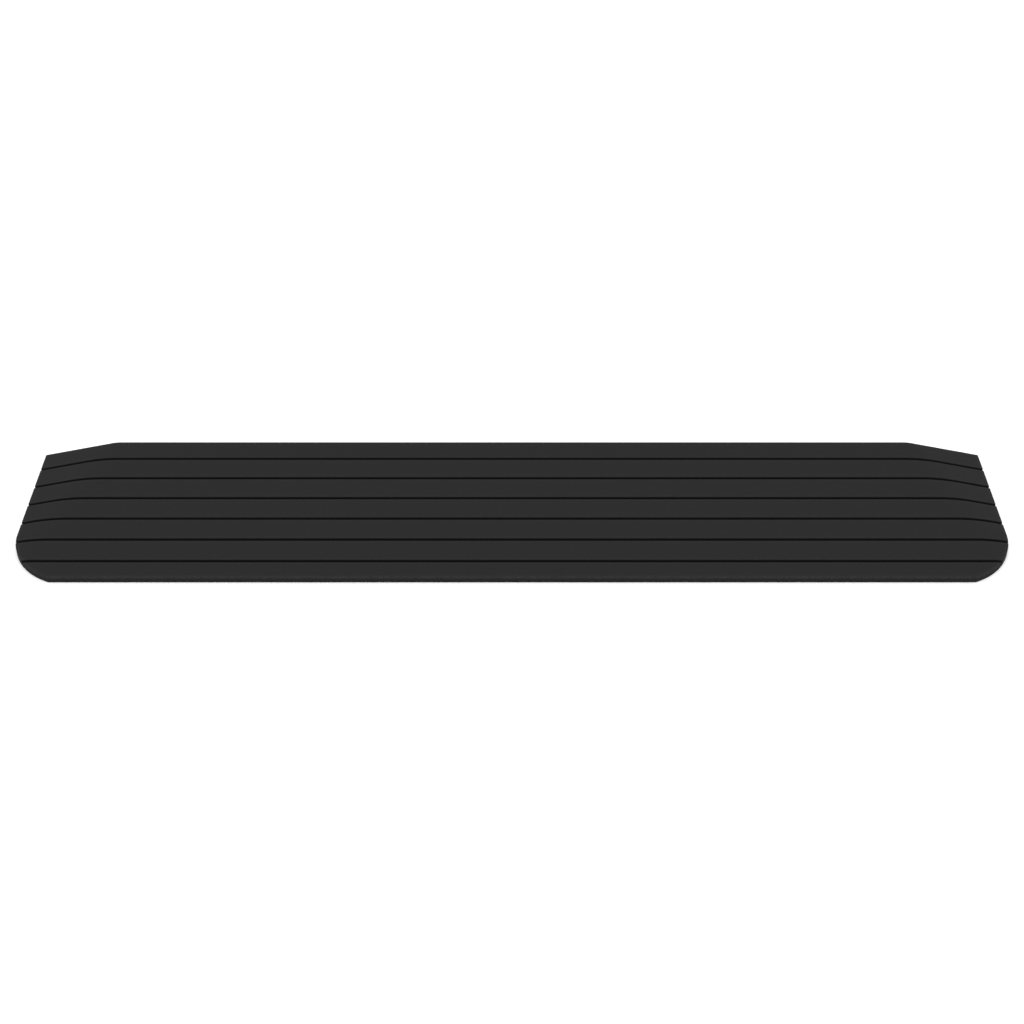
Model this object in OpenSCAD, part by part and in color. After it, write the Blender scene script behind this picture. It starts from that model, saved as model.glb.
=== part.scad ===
// Threshold ramp: a low moulded rubber wedge with a grooved tread, sloping ends and rounded
// front corners. Self-adhesive fixing strips sit in shallow recesses under it, each one covered
// by a release liner, and the ramp stands on those liners until they are peeled off.
// Millimetres, +Z up. X runs along the threshold and +Y points from the low front edge to the
// tall rear face. The origin is the middle of the footprint, on the floor.

/* [Ramp] */
// Length of the ramp along the threshold
ramp_length = 1070; // [700:10:1400]
// Depth of the ramp from its front edge to its rear face
ramp_depth = 220; // [180:5:320]
// Thickness of the rubber at the rear face
rise = 25; // [20:1:40]
// Thickness of the rubber at the front edge
edge_thickness = 6; // [5:0.5:9]
// Thickness of the rubber at both ends
end_thickness = 7; // [5:0.5:10]
// Reach of each sloping end, measured along the rear face
end_slope_run = 84; // [60:1:120]

/* [Front corners] */
// Radius of the rounded front corners, seen from above
corner_radius = 80; // [40:1:95]
// Angle that a corner turns through before it meets the front edge
corner_sweep = 66; // [45:1:85]

/* [Tread] */
// Number of grooves across the tread
groove_count = 6; // [3:1:8]
// Distance from the front edge to the middle of the first groove
front_land = 25.5; // [15:0.5:35]
// Distance from the middle of the last groove to the rear face
rear_land = 29; // [15:0.5:40]
// Width of a groove
groove_width = 4; // [2:0.5:6]
// Depth of a groove, measured straight down from the tread
groove_depth = 3; // [1:0.5:3.5]

/* [Underside] */
// Thickness of the rubber between the tread and the pockets under it
top_wall = 8; // [6:0.5:10]
// Least depth of a pocket, which sets how far forward the pockets start
least_pocket_depth = 3; // [2:0.5:5]
// Thickness of the ribs between the pockets
rib_width = 9; // [5:0.5:14]
// Number of pockets along the ramp
pocket_columns = 14; // [8:1:18]
// Number of pockets from front to rear
pocket_rows = 3; // [2:1:4]
// Corner radius of a pocket, seen from below
pocket_corner_radius = 5; // [2:0.5:8]

/* [Fixing strips] */
// Width of the adhesive strips
strip_width = 25; // [15:1:30]
// Thickness of the adhesive strips
strip_thickness = 1; // [0.9:0.1:2]
// Depth of the recesses that the strips are stuck in
recess_depth = 0.85; // [0.3:0.05:0.85]
// Gap between a strip and the sides of its recess
strip_clearance = 0.5; // [0.2:0.1:1]
// Distance from the edges of the ramp to the strips
strip_margin = 12; // [8:1:16]
// Thickness of the release liners
liner_thickness = 0.15; // [0.1:0.05:0.3]
// Distance that a liner reaches past the long sides of its strip
liner_overhang = 1; // [0:0.5:2]
// Radius of a liner's corners
liner_corner_radius = 4; // [1:0.5:6]
// Length of the pull tab at each end of a liner
tab_length = 12; // [6:1:16]
// Gap between the liners of the end strips and the liner of the rear strip
liner_gap = 4; // [2:1:10]

/* [Hidden] */
$fn = 96;
cut = 1; // how far a cutting shape runs past the face that it cuts

half_length = ramp_length / 2;
stand_off = strip_thickness + liner_thickness - recess_depth; // height of the underside above the floor
groove_pitch = (ramp_depth - front_land - rear_land) / (groove_count - 1);

// Plan of a front corner: its centre, and where its arc meets the front edge.
corner_centre_x = half_length - corner_radius;
corner_centre_y = corner_radius * sin(corner_sweep);
front_half_length = corner_centre_x + corner_radius * cos(corner_sweep);

// Field of pockets: it starts where the wedge is thick enough and ends short of the rear strip,
// and it stays under the part of the tread that doesn't slope down to the ends.
slope_rise = rise - edge_thickness;
thick_enough_y = (top_wall + least_pocket_depth - edge_thickness) * ramp_depth / slope_rise;
field_front = max(thick_enough_y, strip_margin + strip_width + rib_width);
field_rear = ramp_depth - strip_margin - strip_width - rib_width;
field_half_length = half_length - end_slope_run;
pocket_length = (2 * field_half_length - (pocket_columns - 1) * rib_width) / pocket_columns;
pocket_width = (field_rear - field_front - (pocket_rows - 1) * rib_width) / pocket_rows;

// Fixing strips as [centre x, centre y, length along x, length along y], with y from the front edge.
end_strip_x = half_length - strip_margin - strip_width / 2;
end_strip_front = corner_centre_y;
end_strip_rear = ramp_depth - strip_margin - strip_width - liner_overhang - liner_gap - tab_length;
end_strip_length = end_strip_rear - end_strip_front;
end_strip_y = (end_strip_front + end_strip_rear) / 2;
front_strip = [0, strip_margin + strip_width / 2, 2 * (front_half_length - strip_margin), strip_width];
rear_strip = [0, ramp_depth - strip_margin - strip_width / 2,
              2 * (half_length - strip_margin - tab_length), strip_width];
left_strip = [-end_strip_x, end_strip_y, strip_width, end_strip_length];
right_strip = [end_strip_x, end_strip_y, strip_width, end_strip_length];

// Outline of the ramp from above, with its front edge on the x axis.
module outline() {
    difference() {
        translate([-half_length, 0]) square([ramp_length, ramp_depth]);
        for (side = [-1, 1]) scale([side, 1]) front_corner_waste();
    }
}

// What is cut off one front corner: the square outside the arc.
module front_corner_waste() {
    difference() {
        translate([corner_centre_x, -cut])
            square([corner_radius + cut, corner_centre_y + cut]);
        translate([corner_centre_x, corner_centre_y]) circle(corner_radius);
    }
}

// Everything under the sloping tread once it is lowered by drop, past the outline on all sides.
module under_tread(drop) {
    low = -rise;
    intersection() {
        translate([-half_length - cut, 0, 0]) rotate([90, 0, 90])
            linear_extrude(ramp_length + 2 * cut)
                polygon([[-cut, low], [ramp_depth + cut, low],
                         [ramp_depth + cut, tread_height(ramp_depth + cut) - drop],
                         [-cut, tread_height(-cut) - drop]]);
        translate([0, ramp_depth + 2 * cut, 0]) rotate([90, 0, 0])
            linear_extrude(ramp_depth + 4 * cut)
                polygon([[-half_length - cut, low], [half_length + cut, low],
                         [half_length + cut, end_height(-cut) - drop],
                         [half_length - 2 * end_slope_run, end_height(2 * end_slope_run) - drop],
                         [2 * end_slope_run - half_length, end_height(2 * end_slope_run) - drop],
                         [-half_length - cut, end_height(-cut) - drop]]);
    }
}

// Height of the tread above the underside at a distance back from the front edge.
function tread_height(back) = edge_thickness + slope_rise * back / ramp_depth;

// Height of a sloping end above the underside at a distance in from the end.
function end_height(inward) = end_thickness + (rise - end_thickness) * inward / end_slope_run;

module solid_wedge() {
    intersection() {
        linear_extrude(2 * rise) outline();
        under_tread(0);
    }
}

// One groove, whose floor follows the tread and the sloping ends.
module groove(back) {
    difference() {
        translate([-half_length - cut, back - groove_width / 2, 0])
            cube([ramp_length + 2 * cut, groove_width, 2 * rise]);
        under_tread(groove_depth);
    }
}

module rounded_rectangle(size, radius) {
    inner = size - 2 * [radius, radius];
    translate([-size.x / 2, -inner.y / 2]) square([size.x, inner.y]);
    translate([-inner.x / 2, -size.y / 2]) square([inner.x, size.y]);
    for (x = [-1, 1], y = [-1, 1])
        translate([x * inner.x / 2, y * inner.y / 2]) circle(radius);
}

// Pockets open at the underside, with ceilings that follow the tread.
module pockets() {
    intersection() {
        for (column = [0 : pocket_columns - 1], row = [0 : pocket_rows - 1])
            translate([-field_half_length + pocket_length / 2 + column * (pocket_length + rib_width),
                       field_front + pocket_width / 2 + row * (pocket_width + rib_width), -cut])
                linear_extrude(rise)
                    rounded_rectangle([pocket_length, pocket_width], pocket_corner_radius);
        under_tread(top_wall);
    }
}

// A flat plate over a strip's place, made larger by a margin all round.
module strip_plate(place, margin, thickness) {
    size = [place[2] + 2 * margin, place[3] + 2 * margin, thickness];
    translate([place.x - size.x / 2, place.y - size.y / 2, 0]) cube(size);
}

module recess(place) {
    translate([0, 0, -cut]) strip_plate(place, strip_clearance, recess_depth + cut);
}

module fixing_strip(place) {
    color([0.13, 0.13, 0.14]) translate([0, -ramp_depth / 2, liner_thickness])
        strip_plate(place, 0, strip_thickness);
}

// A liner overhangs the long sides of its strip a little, and both ends by a pull tab.
module release_liner(place) {
    margin = place[2] > place[3] ? [tab_length, liner_overhang] : [liner_overhang, tab_length];
    color([0.86, 0.8, 0.66]) translate([place.x, place.y - ramp_depth / 2, 0])
        linear_extrude(liner_thickness)
            rounded_rectangle([place[2], place[3]] + 2 * margin, liner_corner_radius);
}

module ramp_body() {
    color([0.19, 0.19, 0.19]) translate([0, -ramp_depth / 2, stand_off])
        difference() {
            solid_wedge();
            for (k = [0 : groove_count - 1]) groove(front_land + k * groove_pitch);
            pockets();
            for (place = [front_strip, rear_strip, left_strip, right_strip]) recess(place);
        }
}

module front_fixing_strip() { fixing_strip(front_strip); }
module rear_fixing_strip() { fixing_strip(rear_strip); }
module left_fixing_strip() { fixing_strip(left_strip); }
module right_fixing_strip() { fixing_strip(right_strip); }
module front_release_liner() { release_liner(front_strip); }
module rear_release_liner() { release_liner(rear_strip); }
module left_release_liner() { release_liner(left_strip); }
module right_release_liner() { release_liner(right_strip); }

ramp_body();
front_fixing_strip();
rear_fixing_strip();
left_fixing_strip();
right_fixing_strip();
front_release_liner();
rear_release_liner();
left_release_liner();
right_release_liner();
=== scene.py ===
# Rubber threshold ramp, with the adhesive strips under it and the release liners that cover them.
# Lengths are in metres. "back" is the distance behind the ramp's front edge.
import math

import bpy
import numpy as np
from mathutils.geometry import delaunay_2d_cdt
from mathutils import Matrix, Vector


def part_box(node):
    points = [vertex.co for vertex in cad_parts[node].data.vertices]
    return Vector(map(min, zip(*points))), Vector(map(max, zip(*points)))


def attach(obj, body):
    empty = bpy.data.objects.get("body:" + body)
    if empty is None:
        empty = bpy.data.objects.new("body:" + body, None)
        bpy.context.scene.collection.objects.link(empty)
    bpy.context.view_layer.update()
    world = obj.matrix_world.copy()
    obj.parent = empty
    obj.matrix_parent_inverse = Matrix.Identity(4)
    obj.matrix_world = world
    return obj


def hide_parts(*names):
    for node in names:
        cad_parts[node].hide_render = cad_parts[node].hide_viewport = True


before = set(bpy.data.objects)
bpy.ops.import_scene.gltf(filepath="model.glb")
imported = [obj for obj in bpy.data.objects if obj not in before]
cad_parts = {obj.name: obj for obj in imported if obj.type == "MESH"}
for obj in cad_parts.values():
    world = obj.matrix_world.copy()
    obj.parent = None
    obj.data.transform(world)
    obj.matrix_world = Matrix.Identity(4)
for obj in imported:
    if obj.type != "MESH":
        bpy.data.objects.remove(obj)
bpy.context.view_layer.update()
print("frame loaded:", sorted(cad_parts))


def filletedPath(corners, radii, steps):
    # A polyline with rounded corners: each inner corner gives way to an arc that touches both its sides
    corners = np.asarray(corners, float)
    path = [corners[:1]]
    for before, corner, after, radius in zip(corners, corners[1:], corners[2:], radii):
        sides = np.array([before, after]) - corner
        sides /= np.linalg.norm(sides, axis=1, keepdims=True)
        halfAngle = math.acos(sides[0] @ sides[1]) / 2
        middle = sides.sum(0) / np.linalg.norm(sides.sum(0))
        centre = corner + middle * radius / math.sin(halfAngle)
        first, last = corner + sides * radius / math.tan(halfAngle) - centre
        sweep = math.pi - 2 * halfAngle
        share = np.linspace(0, 1, steps + 1)[:, None]
        arc = np.sin((1 - share) * sweep) * first + np.sin(share * sweep) * last
        path.append(centre + arc / math.sin(sweep))
    path.append(corners[-1:])
    return np.concatenate(path)


def offsetRings(low, high, cornerRadius, insets, cornerSteps):
    # Rings round rectangles, as [rectangle, inset, point, xy]. Each corner is an arc whose centre stays
    # while its radius loses the inset, so every ring is a true offset of the first
    low, high = np.atleast_2d(low), np.atleast_2d(high)
    turn = np.linspace(0, math.pi / 2, cornerSteps + 1)
    angle = (turn + np.arange(4)[:, None] * math.pi / 2).ravel()
    quadrant = np.repeat([[1, 1], [-1, 1], [-1, -1], [1, -1]], cornerSteps + 1, axis=0)
    reach = (high - low) / 2 - cornerRadius
    arcCentre = ((low + high) / 2)[:, None, None] + quadrant * reach[:, None, None]
    radius = cornerRadius - np.asarray(insets, float)
    ray = np.stack([np.cos(angle), np.sin(angle)], axis=-1)
    return arcCentre + radius[:, None, None] * ray


def wallQuads(rings):
    # Quads between neighbouring rings of vertex numbers [..., level, point]. Their faces point away
    # from the middle where the levels climb, and towards it where they go down
    low, high = rings[..., :-1, :], rings[..., 1:, :]
    quads = [low, np.roll(low, -1, -1), np.roll(high, -1, -1), high]
    return np.stack(quads, axis=-1).reshape(-1, 4)


def buildPiece(name, points, faces, material, node, fields=None):
    # A mesh from whole arrays. Each vertex normal is the mean of its faces' normals weighted by their
    # areas, so flats stay flat and the narrow faces between them read as round edges
    mesh = bpy.data.meshes.new(name)
    mesh.from_pydata(points.tolist(), [], [face for group in faces for face in group.tolist()])
    mesh.polygons.foreach_set("use_smooth", np.ones(len(mesh.polygons), bool))
    for field, values in (fields or {}).items():
        layer = mesh.attributes.new(field, "FLOAT", "POINT")
        layer.data.foreach_set("value", values.astype(np.float32))
    count = len(mesh.polygons)
    normal, area, corners = np.zeros(count * 3), np.zeros(count), np.zeros(count, int)
    mesh.polygons.foreach_get("normal", normal)
    mesh.polygons.foreach_get("area", area)
    mesh.polygons.foreach_get("loop_total", corners)
    vertex = np.zeros(len(mesh.loops), int)
    mesh.loops.foreach_get("vertex_index", vertex)
    weighted = np.repeat(normal.reshape(-1, 3) * area[:, None], corners, axis=0)
    total = np.zeros((len(points), 3))
    np.add.at(total, vertex, weighted)
    total /= np.linalg.norm(total, axis=1, keepdims=True)
    mesh.normals_split_custom_set_from_vertices(total.tolist())
    mesh.materials.append(material)
    piece = bpy.data.objects.new(name, mesh)
    bpy.context.scene.collection.objects.link(piece)
    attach(piece, "root")
    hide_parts(node)
    print("made", name, "with", len(points), "vertices and", count, "faces")


def newMaterial(name):
    # A node material, with its tree and its shader
    material = bpy.data.materials.new(name)
    material.use_nodes = True
    tree = material.node_tree
    return material, tree, tree.nodes["Principled BSDF"]


def addNode(tree, kind, inputs=None, **settings):
    # A node with its settings and inputs; an input is a value or another node's output
    node = tree.nodes.new(kind)
    for setting, value in settings.items():
        setattr(node, setting, value)
    for socket, value in (inputs or {}).items():
        if isinstance(value, bpy.types.NodeSocket):
            tree.links.new(value, node.inputs[socket])
        else:
            node.inputs[socket].default_value = value
    return node


def objectPlace(tree):
    # A point's place in the piece's own metres
    return addNode(tree, "ShaderNodeTexCoord").outputs["Object"]


def noise(tree, scale, detail=(2.0, 0.5), place=None):
    # Smooth noise: scale is its patches per metre, or per unit of another place where one is given, and
    # detail the octaves of finer noise in them with the share that each one adds
    inputs = {"Vector": place or objectPlace(tree), "Scale": scale}
    inputs |= {"Detail": detail[0], "Roughness": detail[1]}
    return addNode(tree, "ShaderNodeTexNoise", inputs).outputs[0]


def remap(tree, value, fromLow, fromHigh, toLow, toHigh):
    # A straight line from one stretch of values to another, held at both ends
    inputs = {"Value": value, "From Min": fromLow, "From Max": fromHigh}
    inputs |= {"To Min": toLow, "To Max": toHigh}
    return addNode(tree, "ShaderNodeMapRange", inputs).outputs["Result"]


def spreadNoise(tree, value, low, high, usual=(0.3, 0.7)):
    # Noise lies mostly in its usual stretch, and that is spread from low to high
    return remap(tree, value, *usual, low, high)


def attribute(tree, name):
    return addNode(tree, "ShaderNodeAttribute", attribute_name=name).outputs["Fac"]


def multiply(tree, first, second):
    return addNode(tree, "ShaderNodeMath", {0: first, 1: second}, operation="MULTIPLY").outputs[0]


def mixColours(tree, amount, first, second):
    # The first colour where the amount is 0, the second where it is 1. Sockets 6 and 7 take the node's
    # two colours, and output 2 gives the mixed one
    inputs = {0: amount, 6: (*first, 1), 7: (*second, 1)}
    return addNode(tree, "ShaderNodeMix", inputs, data_type="RGBA").outputs[2]


def bump(tree, height, distance, normal=None):
    # Relief as deep as the distance where the height runs from 0 to 1
    inputs = {"Height": height, "Distance": distance, "Strength": 1.0}
    if normal:
        inputs["Normal"] = normal
    return addNode(tree, "ShaderNodeBump", inputs).outputs[0]


rubberLook = {
    "colour": (0.0141, 0.0141, 0.0143),
    # scuffed rubber together with a painted highlight, lighter along edges and rims
    "scuffedAndHighlightColour": (0.024, 0.024, 0.024),
    "cavityShade": 0.15,       # painted shade: share of the colour that is left at the bottom of a groove
    "bloomScale": 9.0,         # cloudy patches per metre in the moulded surface
    "bloomDetail": (4.0, 0.6),
    "bloom": 0.05,             # how far they change the colour either way
    "grainScale": 1100.0,      # grains per metre left by the mould's etched face
    "grainDetail": (2.0, 0.55),
    "grainDepth": 0.00014,
    "grainShade": 0.10,
    "rippleScale": 60.0,       # slow waves per metre where the rubber shrank
    "rippleDepth": 0.00004,
    "scuffScale": 260.0,
    "scuffDetail": (3.0, 0.7),
    "leastScuffAndHighlight": 0.15,        # share of the wear and painted edge highlight that is there even between the scuffs
    "roughness": (0.62, 0.74),
    "specular": 0.045,
}


def mouldedRubber():
    # Matte black rubber: the colour wanders in cloudy patches, darkens with painted shade in the grooves,
    # pockets and recesses, and lightens with scuffed wear and a painted highlight along edges and rims;
    # the relief is etched grain over slow ripples
    look = rubberLook
    material, tree, shader = newMaterial("mouldedRubber")
    clouds = noise(tree, look["bloomScale"], look["bloomDetail"])
    grain = noise(tree, look["grainScale"], look["grainDetail"])
    ripple = noise(tree, look["rippleScale"])
    patches = noise(tree, look["scuffScale"], look["scuffDetail"])
    # Scuff patches over an even share; the even share is a painted highlight along every edge and rim
    scuffsOverEvenHighlight = spreadNoise(tree, patches, look["leastScuffAndHighlight"], 1)
    scuffsAndHighlight = multiply(tree, attribute(tree, "wearAndHighlight"), scuffsOverEvenHighlight)
    wornAndHighlighted = mixColours(tree, scuffsAndHighlight, look["colour"], look["scuffedAndHighlightColour"])
    bloom = spreadNoise(tree, clouds, 1 - look["bloom"], 1 + look["bloom"])
    speckle = spreadNoise(tree, grain, 1 - look["grainShade"], 1 + look["grainShade"])
    # Painted shade: the colour darkens in the grooves, pockets and recesses
    cavityTone = remap(tree, attribute(tree, "cavity"), 0, 1, 1, look["cavityShade"])
    shade = {0: wornAndHighlighted, "Scale": multiply(tree, cavityTone, multiply(tree, bloom, speckle))}
    tinted = addNode(tree, "ShaderNodeVectorMath", shade, operation="SCALE").outputs[0]
    tree.links.new(tinted, shader.inputs["Base Color"])
    tree.links.new(spreadNoise(tree, clouds, *look["roughness"]), shader.inputs["Roughness"])
    shader.inputs["Specular IOR Level"].default_value = look["specular"]
    slow = bump(tree, ripple, look["rippleDepth"])
    tree.links.new(bump(tree, grain, look["grainDepth"], slow), shader.inputs["Normal"])
    return material


tapeLook = {
    "colour": (0.013, 0.013, 0.015),
    "paleColour": (0.026, 0.026, 0.029),
    "cellScale": 2600.0,       # foam cells per metre
    "cellDepth": 0.00006,
    "roughness": 0.42,
}


def foamTape():
    # Dark acrylic foam: fine round cells in colour and relief
    look = tapeLook
    material, tree, shader = newMaterial("foamTape")
    inputs = {"Vector": objectPlace(tree), "Scale": look["cellScale"]}
    cells = addNode(tree, "ShaderNodeTexVoronoi", inputs).outputs[0]
    colour = mixColours(tree, cells, look["colour"], look["paleColour"])
    tree.links.new(colour, shader.inputs["Base Color"])
    shader.inputs["Roughness"].default_value = look["roughness"]
    tree.links.new(bump(tree, cells, look["cellDepth"]), shader.inputs["Normal"])
    return material


linerLook = {
    "colour": (0.60, 0.51, 0.35),
    "fibreColour": (0.46, 0.37, 0.24),
    "fibresAlong": 160.0,      # fibres per metre along the paper, the way that its roll runs
    "fibresAcross": 1400.0,
    "fibreDetail": (3.0, 0.65),
    "fibreDepth": 0.00002,
    "fibreRange": (0.12, 0.42),  # fibres times clouds, from where they first show to their full colour
    "cloudScale": 45.0,
    "cloudDetail": (3.0, 0.55),
    "roughness": (0.30, 0.42),
    "coat": 0.35,
    "coatRoughness": 0.22,
}


def releasePaper():
    # Siliconed kraft paper: fibres that run along the paper, soft clouds and a smooth coat. The fibres
    # are noise over the attributes "along" and "across", the distances on the paper
    look = linerLook
    material, tree, shader = newMaterial("releasePaper")
    along = multiply(tree, attribute(tree, "along"), look["fibresAlong"])
    across = multiply(tree, attribute(tree, "across"), look["fibresAcross"])
    stretched = addNode(tree, "ShaderNodeCombineXYZ", {0: along, 1: across}).outputs[0]
    fibres = noise(tree, 1.0, look["fibreDetail"], stretched)
    clouds = noise(tree, look["cloudScale"], look["cloudDetail"])
    amount = remap(tree, multiply(tree, fibres, clouds), *look["fibreRange"], 0, 1)
    colour = mixColours(tree, amount, look["colour"], look["fibreColour"])
    tree.links.new(colour, shader.inputs["Base Color"])
    tree.links.new(spreadNoise(tree, clouds, *look["roughness"]), shader.inputs["Roughness"])
    shader.inputs["Coat Weight"].default_value = look["coat"]
    shader.inputs["Coat Roughness"].default_value = look["coatRoughness"]
    tree.links.new(bump(tree, fibres, look["fibreDepth"]), shader.inputs["Normal"])
    return material


ramp = {
    "edgeThickness": 0.006,      # at the front edge
    "endThickness": 0.007,       # at both ends
    "endSlopeRun": 0.084,        # how far in the sloping ends reach at the rear face
    "cornerRadius": 0.080,       # front corners, seen from above
    "cornerSweep": 66,           # degrees that a corner turns before it meets the front edge
    "rearCornerRadius": 0.0012,
    "edgeRadius": 0.0006,        # the rounded upper edge
    "edgeShoulder": 0.001,       # a row that keeps the tread flat behind it
    "lowerEdgeRadius": 0.00012,  # kept under the edge's mesh steps, which would fold over otherwise
    "hipSoftness": 0.0042,       # the tread and the end are blended while their heights differ by half this
    "rearHipSoftness": 0.0010,   # the same at the rear face, where the crease stays crisp
    "crispReach": 0.030,         # how far in front of the rear face it has grown soft
    "grooveCount": 6,
    "frontLand": 0.0255,
    "rearLand": 0.029,
    "grooveWidth": 0.004,
    "grooveDepth": 0.003,
    "grooveDraft": 5,            # degrees that a groove's walls lean out
    "grooveRimRadius": 0.0004,
    "grooveFloorRadius": 0.0009,
    "grooveShoulder": 0.0012,    # flat rows kept beside a groove
    "topWall": 0.008,            # rubber between the tread and the pockets
    "leastPocketDepth": 0.003,
    "ribWidth": 0.009,
    "pocketColumns": 14,
    "pocketRows": 3,
    "pocketCornerRadius": 0.005,
    "pocketRimRadius": 0.0006,
    "pocketLean": 0.0002,        # how far a pocket's walls lean in on their way up
    "ceilingRadius": 0.0016,
    "pocketShadeDepth": 0.0075,  # height up a pocket over which its painted shade grows
    "pocketShade": 0.8,          # painted shade at a pocket's ceiling, where a groove's floor has 1
    # painted shade in the recesses that the fixing strips sit in
    "recessShade": 0.3,
    "recessDepth": 0.00085,
    "recessClearance": 0.0005,
    "recessCornerRadius": 0.001,
    "recessRim": 0.0002,
    "wearAndHighlightReach": 0.0022,         # how far in from an edge the rubber is rubbed and a highlight is painted
    "rimWearAndHighlight": 0.5,              # wear and painted highlight along the grooves' rims, as a share of that at the edges
    "lowerEdgeWearAndHighlight": 0.2,
    "wearAndHighlightDepth": 0.0006,         # how far down a groove's wall the wear and painted highlight go
    "wallWearAndHighlight": 1 / 3,           # most of a wall's height that the wear and painted highlight of one edge may take
    "flatColumns": 30,           # mesh columns over half of the flat part of the tread
    "slopeColumns": 56,          # and over each sloping end
    "hipMargin": 0.03,           # how far before the slope its closer columns start
    "landStep": 0.0035,          # about the row spacing between the grooves
    "roundSteps": 5,             # steps round an upper edge
    "filletSteps": 4,            # round a groove's rim or floor corner
    "lowerEdgeSteps": 2,
    "pocketSteps": 3,            # round a pocket's rim or ceiling edge
    "pocketCornerSteps": 6,
    "recessCornerSteps": 3,
    "slopeStep": 0.00001,        # how far to either side a slope is measured
    "landScale": 1000,           # the underside is split into triangles in millimetres
    "landTolerance": 0.00001,    # and points closer than this, in millimetres, are taken as one
}
strips = ["front_fixing_strip", "rear_fixing_strip", "left_fixing_strip", "right_fixing_strip"]

bodyLow, bodyHigh = (np.array(corner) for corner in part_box("ramp_body"))
length, depth, rise = bodyHigh - bodyLow
halfLength = length / 2
slopeRise = rise - ramp["edgeThickness"]
endRise = rise - ramp["endThickness"]
cornerX = halfLength - ramp["cornerRadius"]
cornerBack = ramp["cornerRadius"] * math.sin(math.radians(ramp["cornerSweep"]))
grooveMiddles = np.linspace(ramp["frontLand"], depth - ramp["rearLand"], ramp["grooveCount"])


def quarterTurn(steps):
    # Cosine and sine over a quarter circle, which every round edge is made from
    turn = np.linspace(0, math.pi / 2, steps + 1)
    return np.cos(turn), np.sin(turn)


def treadHeight(back):
    # A plane that rises from the front edge's thickness to the rise at the rear face
    return ramp["edgeThickness"] + slopeRise * back / depth


def topHeight(x, back):
    # The lower of two planes, the tread that rises to the rear face and the end that rises inwards,
    # with the crease between them smoothed: near it a parabola of the planes' difference is taken off.
    # The crease is crisp at the rear face and softens evenly in front of it
    tread = treadHeight(back)
    end = ramp["endThickness"] + endRise * (halfLength - np.abs(x)) / ramp["endSlopeRun"]
    softness = ramp["rearHipSoftness"], ramp["hipSoftness"]
    soft = np.interp(depth - back, [0, ramp["crispReach"]], softness)
    share = np.clip(0.5 + 0.5 * (end - tread) / soft, 0, 1)
    return end * (1 - share) + tread * share - soft * share * (1 - share)


def outlineX(back):
    # Half the length at each distance back: the corner's circle, then the straight end, then a small
    # circle at the rear corner
    radius, small = ramp["cornerRadius"], ramp["rearCornerRadius"]
    ahead = np.clip(cornerBack - back, 0, None)
    behind = np.clip(back - (depth - small), 0, small)
    front = cornerX + np.sqrt(radius ** 2 - ahead ** 2)
    return front - small + np.sqrt(small ** 2 - behind ** 2)


def edgeDistance(x, back):
    # Distance to the outline from inside it: the least of those to its sides, where the front and rear
    # corners count by the distance from their circles' centres
    x = np.abs(x)
    radius, small = ramp["cornerRadius"], ramp["rearCornerRadius"]
    inFront = (x > cornerX) & (back < cornerBack)
    side = np.where(inFront, radius - np.hypot(x - cornerX, cornerBack - back), halfLength - x)
    nearest = np.minimum(np.minimum(side, back), depth - back)
    rearX, rearBack = x - (halfLength - small), back - (depth - small)
    inRear = (rearX > 0) & (rearBack > 0)
    return np.where(inRear, small - np.hypot(rearX, rearBack), nearest)


def edgeDrop(x, back):
    # How much a round edge takes off the top: the gap between the sloping surface and a circle that
    # touches it and the wall. The slope is the top's gradient along the distance's gradient
    radius, step = ramp["edgeRadius"], ramp["slopeStep"]
    slope = sum((topHeight(x + dx, back + dy) - topHeight(x - dx, back - dy))
                * (edgeDistance(x + dx, back + dy) - edgeDistance(x - dx, back - dy))
                for dx, dy in ((step, 0), (0, step))) / (2 * step) ** 2
    inside = np.clip(edgeDistance(x, back), 0, None)
    circle = np.sqrt(np.clip(radius ** 2 - (radius - inside) ** 2, 0, None))
    drop = slope * (inside - radius) + radius * np.sqrt(1 + slope ** 2) - circle
    touching = radius * (1 - slope / np.sqrt(1 + slope ** 2))
    return np.where(inside < touching, drop, 0)


def treadRows():
    # Distances back of the tread's rows, and the groove's depth at each. Rows crowd at the round front
    # and rear edges and follow each groove's section; even steps fill the lands between
    halfWidth, groove = ramp["grooveWidth"] / 2, ramp["grooveDepth"]
    lean = groove * math.tan(math.radians(ramp["grooveDraft"]))
    shoulder = halfWidth + ramp["grooveShoulder"]
    section = filletedPath([[0, groove], [halfWidth - lean, groove], [halfWidth, 0], [shoulder, 0]],
                           [ramp["grooveFloorRadius"], ramp["grooveRimRadius"]], ramp["filletSteps"])
    section = np.concatenate([section[::-1] * [-1, 1], section[1:]])
    edge = ramp["edgeRadius"] * (1 - quarterTurn(ramp["roundSteps"])[0])
    edge = np.append(edge, ramp["edgeShoulder"])
    stretches = [np.stack([edge, 0 * edge], -1)]
    stretches += [section + [middle, 0] for middle in grooveMiddles]
    stretches.append(np.stack([depth - edge[::-1], 0 * edge], -1))
    rows = stretches[:1]
    for before, after in zip(stretches, stretches[1:]):
        gap = after[0, 0] - before[-1, 0]
        land = np.linspace(before[-1, 0], after[0, 0], max(2, round(gap / ramp["landStep"])) + 1)[1:-1]
        rows += [np.stack([land, 0 * land], -1), after]
    return np.concatenate(rows).T


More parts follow.
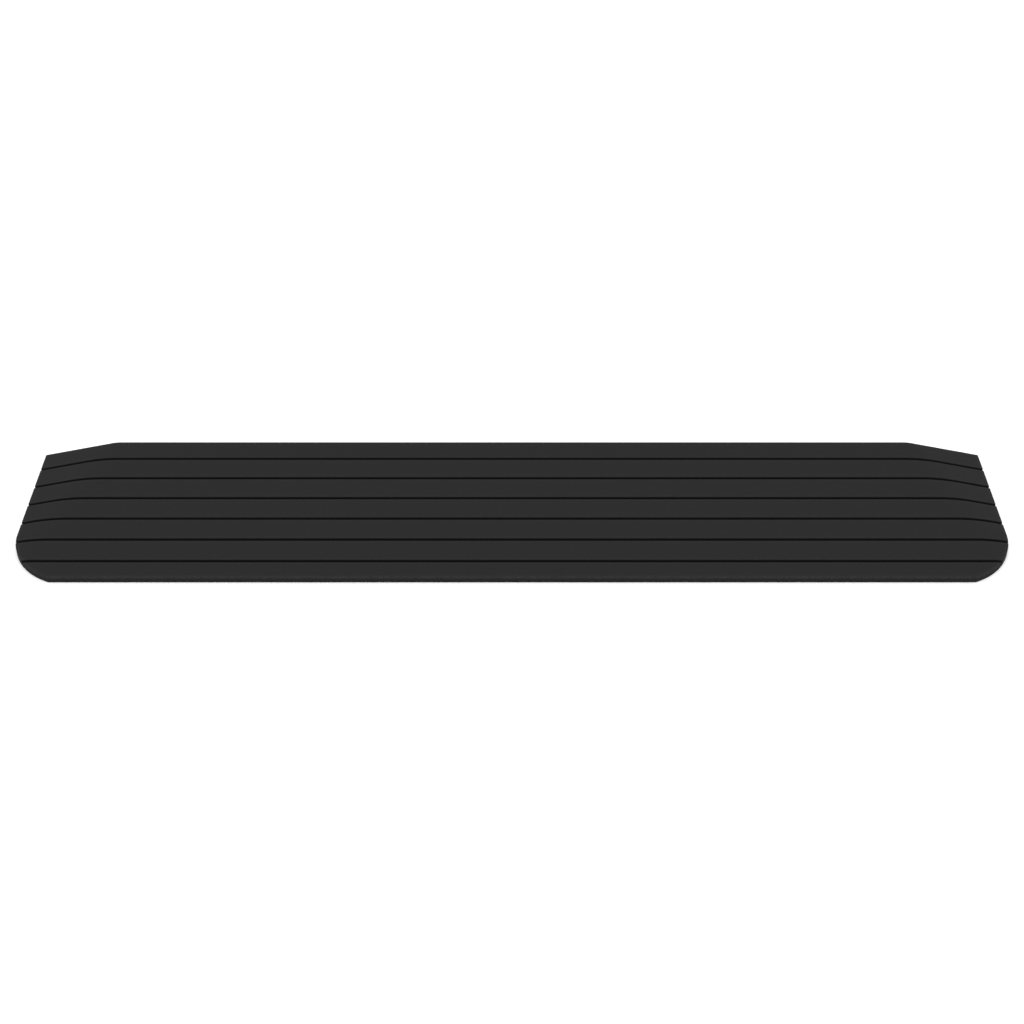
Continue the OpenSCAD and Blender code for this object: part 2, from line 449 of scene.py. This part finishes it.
def treadColumns(rows):
    # Distances from the middle, as [row, column]: even steps on the flat part, shorter ones over the
    # end slope up to each row's own outline, and the round edge's steps measured across the outline
    edge = ramp["edgeRadius"] * (1 - quarterTurn(ramp["roundSteps"])[0][::-1])
    outline = outlineX(rows)[:, None]
    inCorner = (rows < cornerBack)[:, None]
    across = np.where(inCorner, (outline - cornerX) / ramp["cornerRadius"], 1)
    edgeX = outline - edge / across
    slopeStart = halfLength - ramp["endSlopeRun"] - ramp["hipMargin"]
    flat = np.linspace(0, slopeStart, ramp["flatColumns"])[None, :-1] + 0 * outline
    share = np.linspace(0, 1, ramp["slopeColumns"])[None, :-1]
    slope = slopeStart + (edgeX[:, :1] - slopeStart) * share
    half = np.concatenate([flat, slope, edgeX], axis=1)
    return np.concatenate([-half[:, :0:-1], half], axis=1)


def undersidePockets():
    # Lowest and highest corners of every pocket, seen from below: an even field between the strips,
    # from where the wedge is thick enough, under the part of the tread that doesn't slope to the ends
    rib = ramp["ribWidth"]
    columns, rows = ramp["pocketColumns"], ramp["pocketRows"]
    spare = ramp["topWall"] + ramp["leastPocketDepth"] - ramp["edgeThickness"]
    front = max(spare * depth / slopeRise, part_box("front_fixing_strip")[1].y - bodyLow[1] + rib)
    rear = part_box("rear_fixing_strip")[0].y - bodyLow[1] - rib
    reach = halfLength - ramp["endSlopeRun"]
    size = np.array([(2 * reach + rib) / columns - rib, (rear - front + rib) / rows - rib])
    x, y = np.meshgrid(np.arange(columns), np.arange(rows))
    low = np.stack([x.ravel(), y.ravel()], -1) * (size + rib) + [-reach, front]
    return low, low + size


class Skin:
    # One closed surface, gathered from stretches of points with their painted shade, and their wear
    # together with a painted highlight
    def __init__(self):
        self.points, self.faces, self.cavity, self.wearAndHighlight = [], [], [], []
        self.count = 0

    def add(self, points, cavity, wearAndHighlight):
        # Stores points [..., 3] and gives back their vertex numbers in the same arrangement
        shape = points.shape[:-1]
        number = self.count + np.arange(math.prod(shape)).reshape(shape)
        self.points.append(points.reshape(-1, 3))
        self.cavity.append(np.broadcast_to(cavity, shape).ravel())
        self.wearAndHighlight.append(np.broadcast_to(wearAndHighlight, shape).ravel())
        self.count += number.size
        return number


def addTread(skin):
    # The grid of rows and columns at the top's height, less the grooves and the round edge. Gives back
    # the border's points and numbers, anticlockwise from above
    rowBack, rowGroove = treadRows()
    x = treadColumns(rowBack)
    back = rowBack[:, None] + 0 * x
    groove = rowGroove[:, None] + 0 * x
    grid = np.stack([x, back, topHeight(x, back) - groove - edgeDrop(x, back)], -1)
    fromRim = np.abs(np.abs(back[..., None] - grooveMiddles) - ramp["grooveWidth"] / 2).min(-1)
    # Wear and a painted highlight along the outline's edges and the grooves' rims
    wearAndHighlight = np.exp(-(edgeDistance(x, back) / ramp["wearAndHighlightReach"]) ** 2)
    wearAndHighlight += ramp["rimWearAndHighlight"] * np.exp(-(fromRim / ramp["grooveShoulder"]) ** 2)
    outside = groove < ramp["wearAndHighlightDepth"]
    number = skin.add(grid, groove / ramp["grooveDepth"], np.clip(wearAndHighlight, 0, 1) * outside)
    quads = np.stack([number[:-1, :-1], number[:-1, 1:], number[1:, 1:], number[1:, :-1]], -1)
    skin.faces.append(quads.reshape(-1, 4))
    border = np.concatenate([number[0, :-1], number[:-1, -1], number[-1, :0:-1], number[:0:-1, 0]])
    return grid.reshape(-1, 3)[border], border


def addSkirt(skin, rim, border):
    # Straight down from the border, with a ring where the wear and painted highlight of each edge end,
    # then a quarter circle inwards along the border's own normal
    lowest = ramp["lowerEdgeRadius"]
    fade = np.minimum(ramp["wearAndHighlightReach"], (rim[:, 2] - lowest) * ramp["wallWearAndHighlight"])
    wall = np.stack([rim, rim])
    wall[..., 2] = rim[:, 2] - fade, lowest + fade
    wall = skin.add(wall, 0, 0)
    along = np.roll(rim[:, :2], -1, 0) - rim[:, :2]
    along /= np.linalg.norm(along, axis=1, keepdims=True)
    bisector = along + np.roll(along, 1, 0)
    bisector *= 2 / (bisector ** 2).sum(1, keepdims=True)
    inwards = np.stack([-bisector[:, 1], bisector[:, 0]], -1)
    cosine, sine = quarterTurn(ramp["lowerEdgeSteps"])
    inset, height = lowest * (1 - np.stack([cosine, sine]))[:, :, None, None]
    rings = rim[:, :2] + inset * inwards
    points = np.concatenate([rings, height + 0 * rings[..., :1]], -1)
    # Wear and a painted highlight along the lower edge
    number = skin.add(points, 0, ramp["lowerEdgeWearAndHighlight"])
    skin.faces.append(wallQuads(np.concatenate([border[None], wall, number]))[:, ::-1])
    return number[-1]


def addPockets(skin):
    # A round rim, a leaning wall and a fillet under a ceiling that follows the tread
    low, high = undersidePockets()
    cosine, sine = quarterTurn(ramp["pocketSteps"])
    rim, fillet = ramp["pocketRimRadius"], ramp["ceilingRadius"]
    insets = np.concatenate([-rim * (1 - sine), ramp["pocketLean"] + fillet * (1 - cosine)])
    rings = offsetRings(low, high, ramp["pocketCornerRadius"], insets, ramp["pocketCornerSteps"])
    ceiling = treadHeight(rings[:, len(sine):, :, 1]) - ramp["topWall"] - fillet * (1 - sine)[:, None]
    rimHeight = rim * (1 - cosine)[:, None] + 0 * ceiling
    height = np.concatenate([rimHeight, ceiling], axis=1)
    points = np.concatenate([rings, height[..., None]], -1)
    # Painted shade that grows up the pocket towards its ceiling
    shade = ramp["pocketShade"] * np.clip(height / ramp["pocketShadeDepth"], 0, 1)
    # Wear and a painted highlight on the pocket's rim
    number = skin.add(points, shade, ramp["rimWearAndHighlight"] * (height < rim))
    skin.faces += [wallQuads(number)[:, ::-1], number[:, -1, ::-1]]
    return list(number[:, 0])


def addRecesses(skin):
    # Shallow rectangles that the fixing strips sit in, with a small chamfer at the rim
    boxes = np.array([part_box(strip) for strip in strips])[..., :2] - [0, bodyLow[1]]
    spare, chamfer = ramp["recessClearance"], ramp["recessRim"]
    rings = offsetRings(boxes[:, 0] - spare, boxes[:, 1] + spare, ramp["recessCornerRadius"],
                        [-chamfer, 0, 0], ramp["recessCornerSteps"])
    height = np.array([0, chamfer, ramp["recessDepth"]])[:, None] + 0 * rings[..., 0]
    # Painted shade over the whole recess
    number = skin.add(np.concatenate([rings, height[..., None]], -1), ramp["recessShade"], 0)
    skin.faces += [wallQuads(number)[:, ::-1], number[:, -1, ::-1]]
    return list(number[:, 0])


def addLand(skin, loops):
    # The flat land of the underside: triangles between the outer loop and the rims of the pockets and
    # recesses. They keep every rim's edges, and those that lie inside a hole are left out. made[2] holds
    # the triangles, and made[3] the input points that each of their points comes from
    points = np.concatenate(skin.points)
    rimNumber = np.concatenate(loops)
    sizes = [len(loop) for loop in loops]
    loopOf = np.repeat(np.arange(len(loops)), sizes)
    ends = np.cumsum(sizes)
    following = [np.roll(np.arange(end - size, end), -1) for size, end in zip(sizes, ends)]
    edges = np.stack([np.arange(len(rimNumber)), np.concatenate(following)], -1)
    flat = points[rimNumber, :2] * ramp["landScale"]
    insideOuter = 1  # asks for the triangles inside the outer loop only
    made = delaunay_2d_cdt(flat.tolist(), edges.tolist(), [], insideOuter, ramp["landTolerance"])
    source = np.array([origin[0] for origin in made[3]])
    triangles = source[np.array(made[2])]
    owner = loopOf[triangles]
    inHole = (owner[:, 0] > 0) & (owner == owner[:, :1]).all(1)
    triangles = rimNumber[triangles[~inHole]]
    first, second, third = (points[triangles[:, k], :2] for k in range(3))
    turnsLeft = np.cross(second - first, third - first) > 0
    triangles[turnsLeft] = triangles[turnsLeft][:, ::-1]
    skin.faces.append(triangles)


def rampBody():
    # One closed skin, measured from the front edge and the underside and then moved into place
    skin = Skin()
    rim, border = addTread(skin)
    loops = [addSkirt(skin, rim, border), *addPockets(skin), *addRecesses(skin)]
    addLand(skin, loops)
    points = np.concatenate(skin.points) + [0, bodyLow[1], bodyLow[2]]
    fields = {"cavity": np.concatenate(skin.cavity), "wearAndHighlight": np.concatenate(skin.wearAndHighlight)}
    material = mouldedRubber()
    buildPiece("ramp_moulding", points, skin.faces, material, "ramp_body", fields)


sheetPieces = {
    "cornerSteps": 6,
    "stripCornerRadius": 0.0005,
    "stripBulge": 0.0001,        # how far a strip's sides swell at half its height
    "stripRings": 7,
    "linerCornerRadius": 0.004,
    "linerEdge": 0.00003,        # the slight round of a liner's cut edge
    "linerEdgeShare": 0.2,       # and the share of its thickness that it takes
}


def plate(name, node, cornerRadius, section, material):
    # A section of insets and shares of the height, carried round a rounded rectangle and capped. The
    # fields "along" and "across" are the distances along its longer side and across it
    low, high = (np.array(corner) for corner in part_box(node))
    section = np.asarray(section, float)
    rings = offsetRings(low[:2], high[:2], cornerRadius, section[:, 0], sheetPieces["cornerSteps"])[0]
    height = low[2] + section[:, 1] * (high[2] - low[2])
    points = np.concatenate([rings, height[:, None, None] + 0 * rings[..., :1]], -1)
    number = np.arange(points[..., 0].size).reshape(points.shape[:2])
    faces = [wallQuads(number), number[-1:], number[:1, ::-1]]
    points = points.reshape(-1, 3)
    longer = np.argmax((high - low)[:2])
    fields = {"along": points[:, longer], "across": points[:, 1 - longer]}
    buildPiece(name, points, faces, material, node, fields)


def stripsAndLiners():
    # A strip's sides swell by a parabola of the height; a liner is a thin sheet with softened edges
    tape, paper = foamTape(), releasePaper()
    height = np.linspace(0, 1, sheetPieces["stripRings"])
    foam = np.stack([sheetPieces["stripBulge"] * (2 * height - 1) ** 2, height], -1)
    edge, share = sheetPieces["linerEdge"], sheetPieces["linerEdgeShare"]
    sheet = [[edge, 0], [0, share], [0, 1 - share], [edge, 1]]
    stripRadius, linerRadius = sheetPieces["stripCornerRadius"], sheetPieces["linerCornerRadius"]
    for strip in strips:
        side = strip.split("_")[0]
        liner = side + "_release_liner"
        plate(side + "_tape", strip, stripRadius, foam, tape)
        plate(side + "_liner", liner, linerRadius, sheet, paper)


studio = {
    "floorSize": 30.0,
    "floorHeight": -0.00005,
    "floorColour": (0.9, 0.9, 0.9, 1),
    "floorRoughness": 0.9,
    "floorSpecular": 0.1,
    "sunStrength": 1.7,
    "sunAngle": 90,            # degrees that the soft overhead light spans
    "skyColour": (1, 1, 1, 1),
    "skyStrength": 1.02,
    "cameraAhead": 1.4123,     # in front of the ramp's front edge
    "cameraHeight": 1.1774,
    "cameraPitch": 37.508,     # degrees below the horizon
    "lens": 61.455,
    "sensorWidth": 36,
}


def setStudio():
    # Pale floor, an even white sky, one wide light straight overhead and the camera
    scene = bpy.context.scene
    scene.view_settings.view_transform = "Standard"
    scene.view_settings.look = "None"
    floorMesh = bpy.data.meshes.new("floor")
    half = studio["floorSize"] / 2
    corners = [(-half, -half), (half, -half), (half, half), (-half, half)]
    floorMesh.from_pydata([(*corner, studio["floorHeight"]) for corner in corners], [], [(0, 1, 2, 3)])
    floorMaterial, _, shader = newMaterial("floorPaint")
    shader.inputs["Base Color"].default_value = studio["floorColour"]
    shader.inputs["Roughness"].default_value = studio["floorRoughness"]
    shader.inputs["Specular IOR Level"].default_value = studio["floorSpecular"]
    floorMesh.materials.append(floorMaterial)
    floor = bpy.data.objects.new("floor", floorMesh)
    scene.collection.objects.link(floor)

    sun = bpy.data.lights.new("overheadLight", "SUN")
    sun.energy = studio["sunStrength"]
    sun.angle = math.radians(studio["sunAngle"])
    scene.collection.objects.link(bpy.data.objects.new("overheadLight", sun))

    world = bpy.data.worlds.new("studioSky")
    world.use_nodes = True
    background = world.node_tree.nodes["Background"]
    background.inputs["Color"].default_value = studio["skyColour"]
    background.inputs["Strength"].default_value = studio["skyStrength"]
    scene.world = world

    camera = bpy.data.cameras.new("camera")
    camera.lens = studio["lens"]
    camera.sensor_width = studio["sensorWidth"]
    cameraObject = bpy.data.objects.new("camera", camera)
    cameraObject.location = (0, bodyLow[1] - studio["cameraAhead"], studio["cameraHeight"])
    cameraObject.rotation_euler = (math.radians(90 - studio["cameraPitch"]), 0, 0)
    scene.collection.objects.link(cameraObject)
    scene.camera = cameraObject
    print("studio set")


rampBody()
stripsAndLiners()
setStudio()
